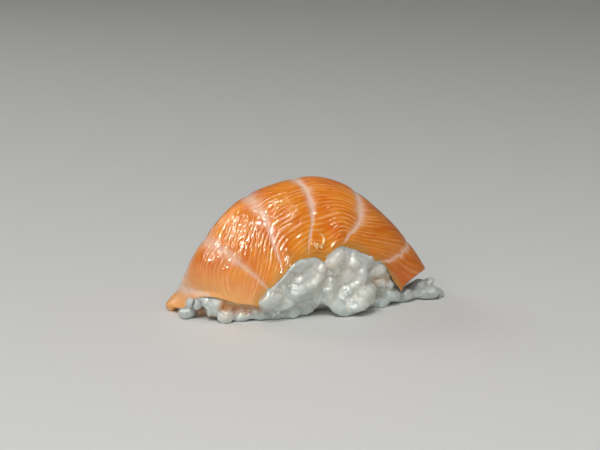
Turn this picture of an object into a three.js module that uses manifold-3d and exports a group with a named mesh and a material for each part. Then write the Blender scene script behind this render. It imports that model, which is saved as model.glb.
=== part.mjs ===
// Salmon nigiri: a strip of raw salmon draped over a hand-pressed block of rice.
//
// Frame: millimetres, +Z up. The origin is the middle of the flat underside of the rice.
// +X runs along the block towards its loose tail of grains, -Y is the side on which
// the strip stops high and leaves the rice bare.

import * as THREE from 'three';
import { mergeVertices } from 'three/addons/utils/BufferGeometryUtils.js';
import Module from 'manifold-3d';

// ---------------------------------------------------------------- driving dimensions

// The strip of fish, measured on its upper face at ten stations from the left end to the
// right end: its near long edge, the line along its crest and its far long edge.
const STATIONS = [
  { near: [-13.0, -9.0, 4.4], crest: [-26.3, 3.6, 2.0], far: [-29.3, 11.2, 1.5] },
  { near: [-11.5, -10.5, 8.0], crest: [-26.1, 3.0, 11.0], far: [-23.2, 13.2, 5.2] },
  { near: [-8.4, -12.0, 11.0], crest: [-22.0, 1.0, 19.4], far: [-18.5, 13.8, 11.0] },
  { near: [-5.0, -12.5, 14.5], crest: [-14.6, 0.0, 27.2], far: [-12.5, 14.0, 15.0] },
  { near: [-1.0, -12.5, 15.4], crest: [-5.0, 0.0, 30.7], far: [-4.5, 14.0, 17.5] },
  { near: [3.0, -12.0, 14.0], crest: [3.7, 0.0, 31.5], far: [4.0, 14.0, 17.5] },
  { near: [6.5, -11.5, 16.9], crest: [12.0, -0.5, 28.8], far: [12.0, 13.5, 16.0] },
  { near: [12.3, -10.0, 14.1], crest: [19.0, -1.0, 23.3], far: [19.5, 13.0, 12.5] },
  { near: [18.5, -8.0, 10.7], crest: [26.2, -1.0, 16.0], far: [26.5, 12.0, 8.5] },
  { near: [23.7, -6.0, 3.5], crest: [32.8, 0.0, 6.8], far: [32.0, 10.5, 4.5] },
];
const STRIP_LENGTH = 84; // along the crest
const STRIP_WIDTH = 34; // across the crest
const THICKNESS_MIDDLE = 3.8;
const THICKNESS_EDGE = 1.2;
const TAPER_WIDTH = 8; // distance over which an edge thickens to the middle
const CREST_SHARE = 0.56; // part of the width that lies on the near side of the crest
const CREST_HEADING = 70; // degrees from +X in which a section crosses the crest
const CREST_FALL = 13; // degrees by which it falls there towards the far side
const CREST_REACH = 0.5; // how far the crest's direction holds, as a part of each side
const NEAR_RISE = 0.55; // how far a near side stands upright, as a part of its height
const NEAR_RISE_MIN = 0.6;
const NEAR_LEAN = 0.15; // how far it leans in over that height, as a part of its reach
const FAR_RISE = 0.5;
const END_ARCH = 5.5; // rise of the left cut end over the grains beneath it
const END_ARCH_SPAN = 0.05; // part of the length over which that rise fades
const END_TURN = 28; // degrees by which the crossing turns outwards at the left cut end
const END_TURN_SPAN = 0.11;

const CLEARANCE = 0.4; // gap between the fish and the rice
const END_CLEARANCE = 1.2; // the same past the two cut ends, along the crest
const HEADROOM = 9; // rice is cleared this far outside the strip

// The block of rice: an oval mound that is slimmer at its foot and at its top.
const BLOCK = { x: 0, y: 1.1, halfLength: 24.6, halfWidth: 12.0, height: 27.6, roundness: 2.4 };
const BLOCK_PROFILE = [
  [0, 0.88],
  [0.15, 0.95],
  [0.36, 1.0],
  [0.56, 0.98],
  [0.74, 0.88],
  [0.88, 0.7],
  [1, 0.36],
];

// One cooked grain.
const GRAIN_LENGTH = 6.8;
const GRAIN_WIDTH = 3.3;

// Courses of grains round the block: the height of each and how deep its grains are set,
// from the side of the block to the middle of a grain.
const COURSES = [
  { height: 1.4, depth: 0.25 },
  { height: 4.6, depth: 0.05 },
  { height: 7.9, depth: 0.25 },
  { height: 11.2, depth: 0.35 },
  { height: 14.6, depth: 0.65 },
];
const GRAIN_SPACING = 6.6; // along a course
const GRAIN_SHOWS = 0.45; // a grain with less than this part outside the strip is left out
const GRAIN_SCATTER = 0.8; // up or down
const GRAIN_TILT = 40; // degrees either way, out of the level
const GRAIN_TURN = 20; // degrees either way, out of the course
const SEED = 7;

// Grains that lie apart from the courses: middle, heading and rise in degrees.
const LOOSE_GRAINS = [
  { at: [-25.0, 2.0, 1.8], heading: 30, rise: 10 },
  { at: [-24.2, -1.6, 3.6], heading: -20, rise: 30 },
  { at: [-20.4, -3.4, 2.6], heading: 70, rise: -35 },
  { at: [-18.0, -6.6, 1.7], heading: 60, rise: 0 },
  { at: [-12.0, -7.6, 1.5], heading: -8, rise: 0 },
  { at: [8.5, -9.4, 2.2], heading: 40, rise: 20 },
  { at: [11.6, -8.8, 5.0], heading: -30, rise: 30 },
  { at: [14.8, -7.6, 2.4], heading: 20, rise: -10 },
  { at: [17.4, -5.6, 5.4], heading: -50, rise: 10 },
  { at: [22.6, -4.0, 2.6], heading: 12, rise: 12 },
  { at: [27.4, -3.2, 1.6], heading: -14, rise: 0 },
  { at: [31.6, -1.2, 2.2], heading: 30, rise: 8 },
  { at: [34.2, 1.4, 3.4], heading: 74, rise: 38 },
  { at: [35.6, 0.8, 1.6], heading: 8, rise: 0 },
  { at: [29.0, 4.2, 1.8], heading: -24, rise: 10 },
  { at: [24.8, 7.6, 2.0], heading: 50, rise: 0 },
];

// The tail: a low tongue of pressed rice under the right end of the strip.
const TAIL = { at: [26.5, 0.6, 1.2], halfLength: 9.5, halfWidth: 4.4, halfHeight: 2.2 };

// ---------------------------------------------------------------- fineness

const STRIP_STEPS_ALONG = 44;
const STRIP_STEPS_ACROSS = 14;
const CUT_STEPS_ALONG = 28;
const CUT_STEPS_ACROSS = 10;
const BLOCK_STEPS_ROUND = 28;
const BLOCK_STEPS_UP = 8;
const GRAIN_STEPS_ROUND = 6;
const GRAIN_STEPS_ALONG = 5;
const SLOPE_STEP = 1e-3;

// ---------------------------------------------------------------- small helpers

const UP = new THREE.Vector3(0, 0, 1);
const vector = (list) => new THREE.Vector3(...list);
const radians = THREE.MathUtils.degToRad;

// Lehmer's generator: numbers from 0 to 1, the same ones at each run.
function randomNumbers(seed) {
  const multiplier = 16807;
  const modulus = 2147483647;
  let state = seed;
  return () => {
    state = (state * multiplier) % modulus;
    return state / modulus;
  };
}

// A smooth curve through evenly numbered points; t runs from 0 to 1 and a little beyond.
function through(points, t) {
  const last = points.length - 1;
  const place = t * last;
  const index = Math.min(Math.max(Math.floor(place), 0), last - 1);
  const local = place - index;
  const point = (k) => {
    if (k < 0) return points[0].clone().multiplyScalar(2).sub(points[1]);
    if (k > last) return points[last].clone().multiplyScalar(2).sub(points[last - 1]);
    return points[k];
  };
  const a = point(index - 1);
  const b = point(index);
  const c = point(index + 1);
  const d = point(index + 2);
  const slopeB = c.clone().sub(a).multiplyScalar(0.5);
  const slopeC = d.clone().sub(b).multiplyScalar(0.5);
  const square = local * local;
  const cube = square * local;
  return new THREE.Vector3()
    .addScaledVector(b, 2 * cube - 3 * square + 1)
    .addScaledVector(slopeB, cube - 2 * square + local)
    .addScaledVector(c, -2 * cube + 3 * square)
    .addScaledVector(slopeC, cube - square);
}

function bezier(a, b, c, d, t) {
  const s = 1 - t;
  return new THREE.Vector3()
    .addScaledVector(a, s * s * s)
    .addScaledVector(b, 3 * s * s * t)
    .addScaledVector(c, 3 * s * t * t)
    .addScaledVector(d, t * t * t);
}

// A closed skin from rows of points: front rows, back rows and the rim between them.
function closedSheet(front, back) {
  const rows = front.length;
  const columns = front[0].length;
  const positions = [];
  for (const sheet of [front, back]) {
    for (const row of sheet) {
      for (const point of row) positions.push(point.x, point.y, point.z);
    }
  }
  const half = rows * columns;
  const faces = [];
  const quad = (a, b, c, d) => faces.push(a, b, c, a, c, d);
  for (let i = 0; i < rows - 1; i += 1) {
    for (let j = 0; j < columns - 1; j += 1) {
      const a = i * columns + j;
      const b = a + columns;
      quad(a, b, b + 1, a + 1);
      quad(half + a, half + a + 1, half + b + 1, half + b);
    }
  }
  const rim = [];
  for (let j = 0; j < columns - 1; j += 1) rim.push(j);
  for (let i = 0; i < rows - 1; i += 1) rim.push(i * columns + columns - 1);
  for (let j = columns - 1; j > 0; j -= 1) rim.push((rows - 1) * columns + j);
  for (let i = rows - 1; i > 0; i -= 1) rim.push(i * columns);
  for (let k = 0; k < rim.length; k += 1) {
    const next = rim[(k + 1) % rim.length];
    quad(rim[k], next, half + next, half + rim[k]);
  }
  const geometry = new THREE.BufferGeometry();
  geometry.setAttribute('position', new THREE.Float32BufferAttribute(positions, 3));
  geometry.setIndex(faces);
  return geometry;
}

// ---------------------------------------------------------------- the strip of fish

const nearRail = STATIONS.map((station) => vector(station.near));
const crestRail = STATIONS.map((station) => vector(station.crest));
const farRail = STATIONS.map((station) => vector(station.far));

// The direction in which a section crosses the crest.
function crestDirection(u) {
  const heading = radians(CREST_HEADING + END_TURN * Math.exp(-((u / END_TURN_SPAN) ** 2)));
  const fall = radians(CREST_FALL);
  return new THREE.Vector3(
    Math.cos(heading) * Math.cos(fall),
    Math.sin(heading) * Math.cos(fall),
    -Math.sin(fall),
  );
}

// The upper face: u runs along the strip from left to right, v across it from near to far.
function stripFace(u, v) {
  const near = through(nearRail, u);
  const crest = through(crestRail, u);
  const far = through(farRail, u);
  const nearReach = Math.hypot(crest.x - near.x, crest.y - near.y);
  const farReach = Math.hypot(far.x - crest.x, far.y - crest.y);
  const arch = END_ARCH * Math.exp(-((u / END_ARCH_SPAN) ** 2));
  const crossing = crestDirection(u);
  if (v < CREST_SHARE) {
    const rise = Math.max(NEAR_RISE * (crest.z - near.z), NEAR_RISE_MIN);
    const nearHandle = near.clone().addScaledVector(UP, rise);
    nearHandle.x += NEAR_LEAN * (crest.x - near.x);
    nearHandle.y += NEAR_LEAN * (crest.y - near.y);
    const crestHandle = crest
      .clone()
      .addScaledVector(crossing, -CREST_REACH * nearReach)
      .addScaledVector(UP, arch);
    return bezier(near, nearHandle, crestHandle, crest, v / CREST_SHARE);
  }
  const crestHandle = crest.clone().addScaledVector(crossing, CREST_REACH * farReach);
  const farHandle = far.clone().addScaledVector(UP, FAR_RISE * Math.max(crest.z - far.z, 0));
  return bezier(crest, crestHandle, farHandle, far, (v - CREST_SHARE) / (1 - CREST_SHARE));
}

function stripNormal(u, v) {
  const along = stripFace(u + SLOPE_STEP, v).sub(stripFace(u - SLOPE_STEP, v));
  const across = stripFace(u, v + SLOPE_STEP).sub(stripFace(u, v - SLOPE_STEP));
  return along.cross(across).normalize();
}

// Thickness falls to the edge value along all four sides.
function stripThickness(u, v) {
  const fromEnd = Math.min(u, 1 - u) * STRIP_LENGTH;
  const fromSide = Math.min(v, 1 - v) * STRIP_WIDTH;
  const share = THREE.MathUtils.clamp(Math.min(fromEnd, fromSide) / TAPER_WIDTH, 0, 1);
  const eased = 1 - (1 - share) ** 2;
  return THICKNESS_EDGE + (THICKNESS_MIDDLE - THICKNESS_EDGE) * eased;
}

// The strip, or, with a margin and a raised upper face, the space that it takes from the rice.
function stripBody(stepsAlong, stepsAcross, margin = 0, endMargin = 0, raise = 0) {
  const front = [];
  const back = [];
  const overU = endMargin / STRIP_LENGTH;
  const overV = margin / STRIP_WIDTH;
  for (let i = 0; i <= stepsAlong; i += 1) {
    const frontRow = [];
    const backRow = [];
    for (let j = 0; j <= stepsAcross; j += 1) {
      const u = -overU + (i / stepsAlong) * (1 + 2 * overU);
      const v = -overV + (j / stepsAcross) * (1 + 2 * overV);
      const point = stripFace(u, v);
      const normal = stripNormal(u, v);
      frontRow.push(point.clone().addScaledVector(normal, raise));
      backRow.push(point.clone().addScaledVector(normal, -stripThickness(u, v) - margin));
    }
    front.push(frontRow);
    back.push(backRow);
  }
  return closedSheet(front, back);
}

// ---------------------------------------------------------------- the rice

function profileWidth(share) {
  const curve = BLOCK_PROFILE.map(([height, width]) => new THREE.Vector3(height, width, 0));
  const last = curve.length - 1;
  let index = 0;
  while (index < last - 1 && curve[index + 1].x < share) index += 1;
  const local = (share - curve[index].x) / (curve[index + 1].x - curve[index].x);
  return through(curve, (index + local) / last).y;
}

// A point on the side of the block, at an angle round it and a height above its foot.
function blockPoint(angle, height) {
  const width = profileWidth(height / BLOCK.height);
  const power = 2 / BLOCK.roundness;
  const c = Math.cos(angle);
  const s = Math.sin(angle);
  const x = BLOCK.x + Math.sign(c) * Math.abs(c) ** power * BLOCK.halfLength * width;
  const y = BLOCK.y + Math.sign(s) * Math.abs(s) ** power * BLOCK.halfWidth * width;
  return new THREE.Vector3(x, y, height);
}

function blockGeometry() {
  const positions = [];
  const faces = [];
  for (let i = 0; i <= BLOCK_STEPS_UP; i += 1) {
    for (let j = 0; j < BLOCK_STEPS_ROUND; j += 1) {
      const angle = (j / BLOCK_STEPS_ROUND) * 2 * Math.PI;
      const point = blockPoint(angle, (i / BLOCK_STEPS_UP) * BLOCK.height);
      positions.push(point.x, point.y, point.z);
    }
  }
  for (let i = 0; i < BLOCK_STEPS_UP; i += 1) {
    for (let j = 0; j < BLOCK_STEPS_ROUND; j += 1) {
      const a = i * BLOCK_STEPS_ROUND + j;
      const b = i * BLOCK_STEPS_ROUND + ((j + 1) % BLOCK_STEPS_ROUND);
      faces.push(a, b, b + BLOCK_STEPS_ROUND, a, b + BLOCK_STEPS_ROUND, a + BLOCK_STEPS_ROUND);
    }
  }
  const foot = positions.length / 3;
  positions.push(BLOCK.x, BLOCK.y, 0, BLOCK.x, BLOCK.y, BLOCK.height);
  const topRow = BLOCK_STEPS_UP * BLOCK_STEPS_ROUND;
  for (let j = 0; j < BLOCK_STEPS_ROUND; j += 1) {
    const next = (j + 1) % BLOCK_STEPS_ROUND;
    faces.push(foot, next, j, foot + 1, topRow + j, topRow + next);
  }
  const geometry = new THREE.BufferGeometry();
  geometry.setAttribute('position', new THREE.Float32BufferAttribute(positions, 3));
  geometry.setIndex(faces);
  return geometry;
}

function grainGeometry(middle, heading, rise) {
  const geometry = new THREE.SphereGeometry(1, GRAIN_STEPS_ROUND, GRAIN_STEPS_ALONG);
  geometry.rotateZ(Math.PI / 2);
  geometry.scale(GRAIN_LENGTH / 2, GRAIN_WIDTH / 2, GRAIN_WIDTH / 2);
  geometry.rotateY(-rise);
  geometry.rotateZ(heading);
  geometry.translate(middle.x, middle.y, middle.z);
  return geometry;
}

function tailGeometry() {
  const geometry = new THREE.SphereGeometry(1, BLOCK_STEPS_ROUND / 2, BLOCK_STEPS_UP);
  geometry.scale(TAIL.halfLength, TAIL.halfWidth, TAIL.halfHeight);
  geometry.translate(...TAIL.at);
  return geometry;
}

// Grains lie along each course, each turned and shifted a little from its neighbours.
function courseGrains() {
  const random = randomNumbers(SEED);
  const spread = (amount) => (2 * random() - 1) * amount;
  const grains = [];
  for (const course of COURSES) {
    const round = 2 * Math.PI * Math.sqrt((BLOCK.halfLength ** 2 + BLOCK.halfWidth ** 2) / 2);
    const count = Math.round(round / GRAIN_SPACING);
    const start = random();
    for (let k = 0; k < count; k += 1) {
      const angle = ((k + start) / count) * 2 * Math.PI;
      const middle = blockPoint(angle, course.height);
      const ahead = blockPoint(angle + SLOPE_STEP, course.height);
      const heading = Math.atan2(ahead.y - middle.y, ahead.x - middle.x);
      const inward = new THREE.Vector3(-Math.sin(heading), Math.cos(heading), 0);
      middle.addScaledVector(inward, course.depth);
      middle.z += spread(GRAIN_SCATTER);
      const turned = heading + spread(radians(GRAIN_TURN));
      grains.push(grainGeometry(middle, turned, spread(radians(GRAIN_TILT))));
    }
  }
  return grains;
}

function looseGrains() {
  return LOOSE_GRAINS.map(({ at, heading, rise }) =>
    grainGeometry(vector(at), radians(heading), radians(rise)),
  );
}

// ---------------------------------------------------------------- joining and cutting

const wasm = await Module();
wasm.setup();

function solidOf(geometry) {
  const bare = geometry.clone();
  bare.deleteAttribute('normal');
  bare.deleteAttribute('uv');
  const merged = mergeVertices(bare);
  return new wasm.Manifold(
    new wasm.Mesh({
      numProp: 3,
      vertProperties: new Float32Array(merged.attributes.position.array),
      triVerts: new Uint32Array(merged.index.array),
    }),
  );
}

function geometryOf(solid) {
  const mesh = solid.getMesh();
  const geometry = new THREE.BufferGeometry();
  geometry.setAttribute('position', new THREE.Float32BufferAttribute(mesh.vertProperties, 3));
  geometry.setIndex(Array.from(mesh.triVerts));
  return geometry;
}

// The outer skin alone: it fills the pockets that are left shut in between grains.
function outerSkin(geometry) {
  const corners = geometry.index.array;
  const facesAt = new Map();
  corners.forEach((corner, k) => {
    if (!facesAt.has(corner)) facesAt.set(corner, []);
    facesAt.get(corner).push(Math.floor(k / 3));
  });
  const seen = new Set();
  let largest = [];
  for (let first = 0; first < corners.length / 3; first += 1) {
    const skin = [];
    const waiting = seen.has(first) ? [] : [first];
    seen.add(first);
    while (waiting.length > 0) {
      const face = waiting.pop();
      skin.push(face);
      for (const corner of corners.slice(3 * face, 3 * face + 3)) {
        for (const next of facesAt.get(corner)) {
          if (!seen.has(next)) {
            seen.add(next);
            waiting.push(next);
          }
        }
      }
    }
    if (skin.length > largest.length) largest = skin;
  }
  const kept = geometry.clone();
  kept.setIndex(largest.flatMap((face) => Array.from(corners.slice(3 * face, 3 * face + 3))));
  return kept;
}

function riceGeometry() {
  const strip = solidOf(
    stripBody(CUT_STEPS_ALONG, CUT_STEPS_ACROSS, CLEARANCE, END_CLEARANCE, HEADROOM),
  );
  let rice = solidOf(blockGeometry()).add(solidOf(tailGeometry()));
  for (const grain of [...courseGrains(), ...looseGrains()].map(solidOf)) {
    const shown = grain.subtract(strip).volume() / grain.volume();
    if (shown > GRAIN_SHOWS) rice = rice.add(grain);
  }
  const reach = 4 * STRIP_LENGTH;
  const aboveGround = new THREE.BoxGeometry(reach, reach, reach);
  aboveGround.translate(0, 0, reach / 2);
  rice = rice.intersect(solidOf(aboveGround));
  return outerSkin(geometryOf(rice.subtract(strip)));
}

// ---------------------------------------------------------------- materials and meshes

const salmon = new THREE.MeshStandardMaterial({ color: 0xe88a45, roughness: 0.35, metalness: 0 });
const rice = new THREE.MeshStandardMaterial({ color: 0xdcdedb, roughness: 0.4, metalness: 0 });

function subPart(name, geometry, material) {
  geometry.computeVertexNormals();
  const mesh = new THREE.Mesh(geometry, material);
  mesh.name = name;
  return mesh;
}

const group = new THREE.Group();
const sliceGeometry = stripBody(STRIP_STEPS_ALONG, STRIP_STEPS_ACROSS);
group.add(subPart('salmon_slice', sliceGeometry, salmon));
group.add(subPart('rice', riceGeometry(), rice));

export default group;
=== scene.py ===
"""Salmon nigiri: the looks of the slice of salmon and of the rice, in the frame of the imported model.

Lengths are in millimetres while a shape is worked out, and in metres once it is a Blender object.
The slice has two coordinates of its own: u runs along it from its left end (0) to its right
end (1), and v runs across it from its near edge (0) to its far edge (1).
"""

import math

import bpy
import numpy as np
from mathutils import Matrix, Vector
from mathutils.bvhtree import BVHTree
from mathutils.kdtree import KDTree


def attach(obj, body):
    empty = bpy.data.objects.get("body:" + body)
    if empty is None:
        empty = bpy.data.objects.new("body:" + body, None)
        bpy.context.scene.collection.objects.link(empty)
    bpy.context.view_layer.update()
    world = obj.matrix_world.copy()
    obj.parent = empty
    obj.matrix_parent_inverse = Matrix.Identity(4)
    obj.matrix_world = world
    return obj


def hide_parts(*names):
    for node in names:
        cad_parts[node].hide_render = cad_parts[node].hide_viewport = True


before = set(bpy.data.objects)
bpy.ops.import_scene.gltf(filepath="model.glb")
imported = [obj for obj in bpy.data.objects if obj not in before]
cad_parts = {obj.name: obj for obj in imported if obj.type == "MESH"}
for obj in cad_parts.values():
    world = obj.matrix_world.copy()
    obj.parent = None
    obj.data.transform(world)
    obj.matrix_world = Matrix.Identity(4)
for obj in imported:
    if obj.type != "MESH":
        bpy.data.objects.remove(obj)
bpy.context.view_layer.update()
MM = 0.001
SEED = 11

# ---------------------------------------------------------------- the camera and the picture

PICTURE_WIDTH = 600
PICTURE_HEIGHT = 450
LENS = 100.0
SENSOR_WIDTH = 36.0
CAMERA_AZIMUTH = -20.0
CAMERA_ELEVATION = 13.0
CAMERA_PLACE = np.array((-128.6, -354.6, 107.3))
FOCAL_PIXELS = PICTURE_WIDTH * LENS / SENSOR_WIDTH

# ---------------------------------------------------------------- the slice of salmon

# Near edge, crest and far edge of the upper face at ten stations, as in the CAD model.
STATIONS = (
    ((-13.0, -9.0, 4.4), (-26.3, 3.6, 2.0), (-29.3, 11.2, 1.5)),
    ((-11.5, -10.5, 8.0), (-26.1, 3.0, 11.0), (-23.2, 13.2, 5.2)),
    ((-8.4, -12.0, 11.0), (-22.0, 1.0, 19.4), (-18.5, 13.8, 11.0)),
    ((-5.0, -12.5, 14.5), (-14.6, 0.0, 27.2), (-12.5, 14.0, 15.0)),
    ((-1.0, -12.5, 15.4), (-5.0, 0.0, 30.7), (-4.5, 14.0, 17.5)),
    ((3.0, -12.0, 14.0), (3.7, 0.0, 31.5), (4.0, 14.0, 17.5)),
    ((6.5, -11.5, 16.9), (12.0, -0.5, 28.8), (12.0, 13.5, 16.0)),
    ((12.3, -10.0, 14.1), (19.0, -1.0, 23.3), (19.5, 13.0, 12.5)),
    ((18.5, -8.0, 10.7), (26.2, -1.0, 16.0), (26.5, 12.0, 8.5)),
    ((23.7, -6.0, 3.5), (32.8, 0.0, 6.8), (32.0, 10.5, 4.5)),
)
STRIP_LENGTH = 84.0
STRIP_WIDTH = 34.0
THICKNESS_MIDDLE = 3.8
THICKNESS_EDGE = 1.2
TAPER_WIDTH = 8.0
CREST_SHARE = 0.56
CREST_HEADING = 70.0
CREST_FALL = 13.0
CREST_REACH = 0.5
NEAR_RISE = 0.55
NEAR_RISE_MIN = 0.6
NEAR_LEAN = 0.15
FAR_RISE = 0.5
END_ARCH = 5.5
END_ARCH_SPAN = 0.05
END_TURN = 28.0
END_TURN_SPAN = 0.11

SLICE_STEPS_ALONG = 190
SLICE_STEPS_ACROSS = 215
RIM_STEPS = (0.0, 0.06, 0.2, 0.4, 0.65, 1.0)  # places of the rows that round the rim, in rim radii

# Fat lines: (v, u) points from the near edge to the far edge, and the width in mm at the same points.
FAT_WIDENING = 1.45  # the lines fade out at their sides
# Random waves in the fat lines: height, and how many go along the slice and across it.
FAT_RAGGED = ((0.3, 70, 30), (0.25, 160, 70))  # of their width, as a share of it
FAT_STRAY = (0.35, 40, 22)  # of their place, in mm
FAT_LINES = (
    {"path": ((0.26, -0.02), (0.33, -0.006), (0.38, 0.006), (0.433, 0.019), (0.493, 0.036), (0.6, 0.05),
              (0.81, 0.056), (1.0, 0.05)),
     "width": (0.6, 0.9, 1.2, 1.7, 1.8, 1.4, 1.2, 1.0), "strength": 0.85},
    {"path": ((0.0, 0.125), (0.07, 0.138), (0.17, 0.163), (0.27, 0.185), (0.37, 0.198), (0.437, 0.207),
              (0.553, 0.212), (0.75, 0.19), (1.0, 0.15)),
     "width": (0.5, 0.9, 1.2, 1.7, 2.4, 2.8, 2.2, 1.4, 1.0), "strength": 0.66},
    {"path": ((0.0, 0.235), (0.117, 0.28), (0.16, 0.299), (0.207, 0.318), (0.253, 0.333), (0.31, 0.345),
              (0.377, 0.353), (0.473, 0.358), (0.62, 0.354), (0.8, 0.33), (1.0, 0.29)),
     "width": (0.1, 0.9, 1.1, 1.2, 1.4, 1.7, 2.1, 2.4, 2.0, 1.5, 0.9), "strength": 0.78},
    {"path": ((0.0, 0.41), (0.063, 0.438), (0.117, 0.468), (0.17, 0.497), (0.22, 0.512), (0.273, 0.52),
              (0.33, 0.521), (0.39, 0.514), (0.46, 0.502), (0.62, 0.487), (0.8, 0.47), (1.0, 0.44)),
     "width": (0.1, 0.5, 0.7, 0.9, 1.2, 1.5, 1.7, 1.8, 1.7, 1.4, 1.0, 0.7), "strength": 1.0},
    {"path": ((0.0, 0.66), (0.06, 0.692), (0.11, 0.71), (0.153, 0.723), (0.22, 0.735), (0.297, 0.734),
              (0.37, 0.724), (0.447, 0.711), (0.6, 0.69), (0.8, 0.668), (1.0, 0.64)),
     "width": (0.1, 0.6, 0.8, 1.0, 1.5, 2.1, 2.3, 2.0, 1.5, 1.1, 0.7), "strength": 1.0},
    {"path": ((0.0, 0.868), (0.087, 0.897), (0.183, 0.913), (0.277, 0.923), (0.36, 0.922), (0.48, 0.913),
              (0.65, 0.9), (0.85, 0.875), (1.0, 0.85)),
     "width": (0.5, 0.8, 0.9, 0.9, 0.8, 0.8, 0.8, 0.7, 0.6), "strength": 0.85},
)
HUMP_HEIGHT = 0.25  # how far the flesh swells between two fat lines
GROOVE_DEPTH = 0.06  # how far a fat line lies below it
RELIEF_LEVEL = -0.3  # the swellings reach about the plain face, so that the outline stays
# Random waves in the slice: height, length along it and width across it, in mm.
UNDULATION = (0.11, 9, 6)
FIBRE_WANDER = (0.35, 9, 5)  # of the lines that the fibres follow
EDGE_WANDER = (0.35, 2.6, 2.6)  # of its long edges
THIN_WANDER = (0.8, 3, 3)  # of the border of its thin near edge
FIBRE_SPACING = 0.88
FIBRE_HEIGHT = 0.1
# Random shades of the fibres: how long they are in mm, and how many go to one fibre's width.
STREAKS = (7, 1.1)
FINE_STREAKS = (2.2, 3.1)
# How the fibres run in each field of flesh between two fat lines: how far they drift across the
# slice on each mm along it, and how much more on each mm away from the near edge.
FIBRE_DRIFT = ((0.0, 0.0), (0.08, 0.0), (0.27, 0.0), (0.2, -0.01), (0.03, 0.004), (0.1, 0.041), (0.1, 0.02))
FIBRE_DRIFT_WIDTH = 14.0
CALM = 0.6  # the fibres show this much less on the upper left part of the slice
CALM_U = (0.52, 0.44)
CALM_V = (0.3, 0.5)
PUCKER = 0.055  # fine wrinkles that the wet surface glints from
PUCKER_LENGTH = 1.9
PUCKER_WIDTH = 0.5
PUCKER_LEAST = 0.3  # what is left of them on the right and on the far side
PUCKER_FADE_U = (0.56, 0.44)
PUCKER_FADE_V = (0.7, 0.5)
PUCKER_FADE_EDGE = ((0.0, 0.14), (0.12, 0.24))  # beside the near edge, on the left and further right
PUCKER_FADE_TURN = (0.3, 0.36)
THIN_WIDTH = 3.4  # the near edge is thin and glassy over this width
THIN_FULL = 0.4  # and fully so over this width
FADE_WIDTH = (0.3, 3.0)  # the relief starts this far from the rim, and is whole this far from it
FEATHER = 0.2  # what is left of the edge's thickness along the near edge
FEATHER_WIDTH = 4.0
LEAST_HEIGHT = 0.05  # no part of the slice lies lower over the table
END_DROOP = 1.4  # the near half of the left end hangs this much lower
END_DROOP_SPAN = 0.045
END_DROOP_PLACE = 0.22
END_DROOP_WIDTH = 0.15
END_SWELL = 0.8  # and its cut face is thicker by this share
TIP_SWELL = 0.6  # so is that of its far half
TIP_SPAN = 0.03
TIP_PLACE = (0.4, 0.7)
TIP_SHIFT = (-0.9, -2.5, 0.0)

# A curl of fat on the slice: its course in the picture's pixels, and its sizes in mm.
CURL_PATH = ((319.5, 233.5), (323.0, 236.0), (324.0, 240.5), (322.5, 244.5), (318.0, 246.5), (312.5, 244.5))
CURL_STEPS = 28
CURL_SIDES = 8
CURL_RADIUS = 0.36
CURL_RISE = 0.05
CRUMB_COUNT = 9
CRUMB_START = 0.6  # the crumbs lie along the curl's lower end
CRUMB_SPREAD = 3.0  # in pixels
CRUMB_SIZE = 0.7
CRUMB_SIZES = (0.6, 0.6)  # the least size as a share of the usual one, and its spread
CRUMB_LENGTH = 1.3  # as a share of its width
CRUMB_RISE = 0.2

# ---------------------------------------------------------------- the rice

BLOCK_MIDDLE = (0.0, 1.1)
BLOCK_HALF_LENGTH = 24.6
BLOCK_HALF_WIDTH = 12.0
BLOCK_HEIGHT = 27.6
BLOCK_ROUNDNESS = 2.4
BLOCK_PROFILE = ((0.0, 0.88), (0.15, 0.95), (0.36, 1.0), (0.56, 0.98), (0.74, 0.88), (0.88, 0.7), (1.0, 0.36))
CORE_INSET = 1.2
CORE_FOOT_INSET = 5.0  # the core's front is hollowed this far where it meets the table
CORE_FOOT_HEIGHT = 4.5
CORE_TOP_OUTSET = 0.9  # under the slice the core is a little fuller, and the slice presses it down
CORE_BACK_LIFT = 3.5  # the slice covers the back of the core from this much higher up
CORE_BACK = (4.0, 9.0)  # the back of the core begins at these depths (y),
CORE_FRONT = (0.0, -6.0)  # its front at these,
CORE_COVERED = (9.0, 14.0)  # and the slice covers it from these heights up
CORE_STEPS_ROUND = 96
CORE_STEPS_UP = 40
TAIL_MIDDLE = (26.5, 0.8, 0.9)
TAIL_HALF = (8.5, 3.2, 1.5)
BED_MIDDLE = (23.6, 4.5, 3.6)  # rice that fills the space under the right end of the slice
BED_HALF = (3.6, 4.2, 4.2)
BED_GRAINS = 22
BED_GRAIN_SIZE = (0.8, 0.9)  # length and width as shares of the usual ones
BED_RISE = (1.2, -0.3)  # how far they spread upwards, and where that starts

GRAIN_LENGTH = 6.2
GRAIN_WIDTH = 3.0
GRAIN_BLUNTNESS = (2.5, 2.1)  # powers of the curve that its outline follows
GRAIN_BEND = 0.12  # this and the next three are shares of its size
GRAIN_TAPER = 0.14
GRAIN_UNEVENNESS = 0.05
GRAIN_FLATNESS = 0.9
REST_SHARE = 0.45  # the middle of a lying grain is this share of its width above what carries it
SCATTER_LOWEST = 1.2  # scattered grains lie from this height, in mm,
SCATTER_HIGHEST = 0.78  # up to this share of the block's height
SCATTER_TILT = 150.0  # in degrees
SCATTER_LENGTHS = (0.85, 0.3)  # the least length as a share of the usual one, and its spread
GRAIN_INSET = 0.5  # how deep the middles of scattered grains lie in the side of the block
GRAIN_INSET_SPREAD = 1.2
GRAIN_GAP = 3.3  # least distance between the middles of two scattered grains
GRAIN_TRIES = 12000
GRAIN_STEPS_ALONG = 14
GRAIN_STEPS_ROUND = 12
EDGE_GRAIN_COUNT = 24
EDGE_GRAIN_FIRST = (0.06, 0.03)  # where they start along the slice, at its near and far edge
EDGE_GRAIN_LAST = 0.86  # of the slice's length: its right end reaches out beyond the rice
EDGE_GRAIN_SHARE = 0.16  # of the grid's columns, which lie closer together at the edge
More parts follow.
